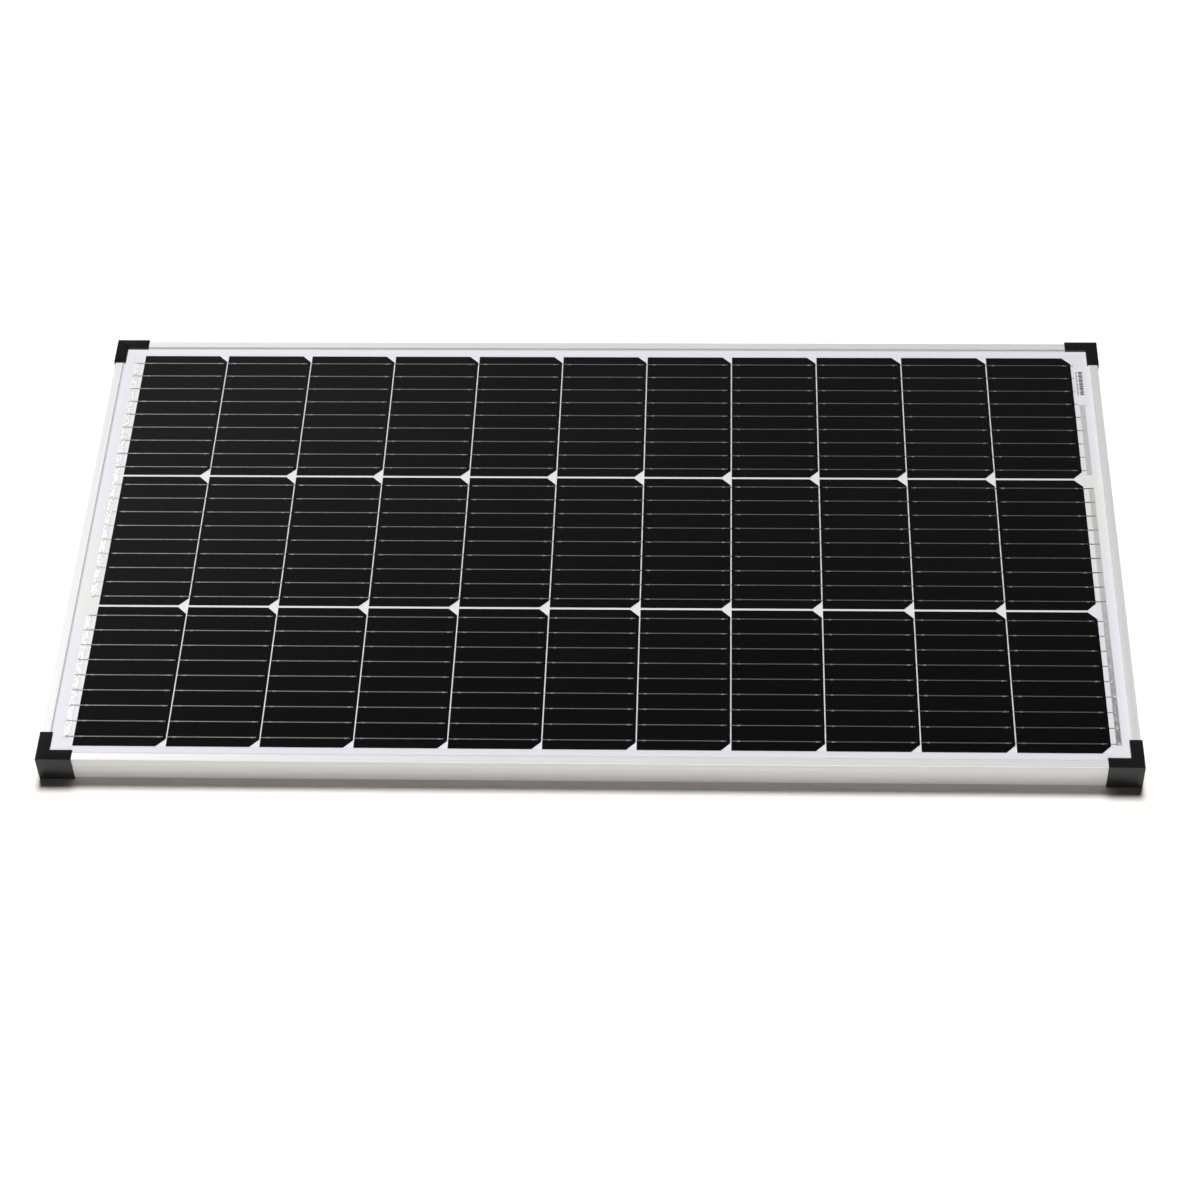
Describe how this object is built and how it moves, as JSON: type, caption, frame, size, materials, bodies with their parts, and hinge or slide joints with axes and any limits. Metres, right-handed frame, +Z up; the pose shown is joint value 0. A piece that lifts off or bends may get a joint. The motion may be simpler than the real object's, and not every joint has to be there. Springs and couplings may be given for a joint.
{
  "type": "solar panel",
  "caption": "Flat framed solar panel: three strings of dark half cells under glass, silver frame, black corner caps and a slim junction box behind.",
  "frame": {"origin": "middle of the footprint, on the surface that the corner caps stand on", "axes": "+X along the long side and the cell strings, +Y to the back long side, +Z up, out of the glass"},
  "size_m": [0.9862, 0.5426, 0.0276],
  "materials": {
    "frame_aluminium": "satin anodised extrusion with fine lines along it",
    "key_aluminium": "mill finish",
    "cap_plastic": "fine moulded texture",
    "silicone": "cured silicone, white",
    "solar_glass": "low-iron tempered glass, clear",
    "clear_encapsulant": "clear film",
    "white_encapsulant": "white film",
    "backsheet_film": "white laminated film",
    "cell_silicon": "anti-reflection coated monocrystalline silicon, near black",
    "tinned_ribbon": "tinned copper ribbon",
    "tinned_strip": "tinned copper strip, mottled",
    "insulation_film": "warm white film",
    "label_film": "white label film with a plain bar pattern",
    "box_plastic": "moulded black plastic",
    "gland_plastic": "moulded black plastic",
    "seal_rubber": "soft black rubber",
    "terminal_metal": "stamped and tinned at the joints",
    "diode_body": "moulded epoxy with tinned wires"
  },
  "bodies": {
    "panel": {"frame_rail_front": "frame_aluminium", "frame_rail_back": "frame_aluminium", "frame_rail_left": "frame_aluminium", "frame_rail_right": "frame_aluminium", "corner_key_front_left": "key_aluminium", "corner_key_front_right": "key_aluminium", "corner_key_back_left": "key_aluminium", "corner_key_back_right": "key_aluminium", "corner_cap_front_left": "cap_plastic", "corner_cap_front_right": "cap_plastic", "corner_cap_back_left": "cap_plastic", "corner_cap_back_right": "cap_plastic", "frame_sealant": "silicone", "glass_pane": "solar_glass", "encapsulant_front": "clear_encapsulant", "encapsulant_rear": "white_encapsulant", "backsheet": "backsheet_film", "cell_string_front": "cell_silicon", "cell_string_middle": "cell_silicon", "cell_string_back": "cell_silicon", "ribbons_front": "tinned_ribbon", "ribbons_middle": "tinned_ribbon", "ribbons_back": "tinned_ribbon", "bus_strip_left_front": "tinned_strip", "bus_strip_left_back": "tinned_strip", "bus_strip_right_front": "tinned_strip", "bus_strip_right_back": "tinned_strip", "lead_out_left": "tinned_strip", "lead_out_right": "tinned_strip", "insulation_left": "insulation_film", "insulation_right": "insulation_film", "serial_label": "label_film", "junction_box_base": "box_plastic", "box_adhesive": "silicone", "terminal_left": "terminal_metal", "terminal_right": "terminal_metal", "bypass_diode": "diode_body", "gland_nut_left": "gland_plastic", "gland_nut_right": "gland_plastic", "gland_seal_left": "seal_rubber", "gland_seal_right": "seal_rubber"},
    "lid": {"junction_box_lid": "box_plastic", "lid_gasket": "seal_rubber"}
  },
  "joints": [
    {"name": "lid_hinge", "type": "hinge", "parent": "panel", "child": "lid", "pos_m": [0, 0.0352, 0.0085], "axis": [1, 0, 0], "range_deg": [0, 100]}
  ]
}
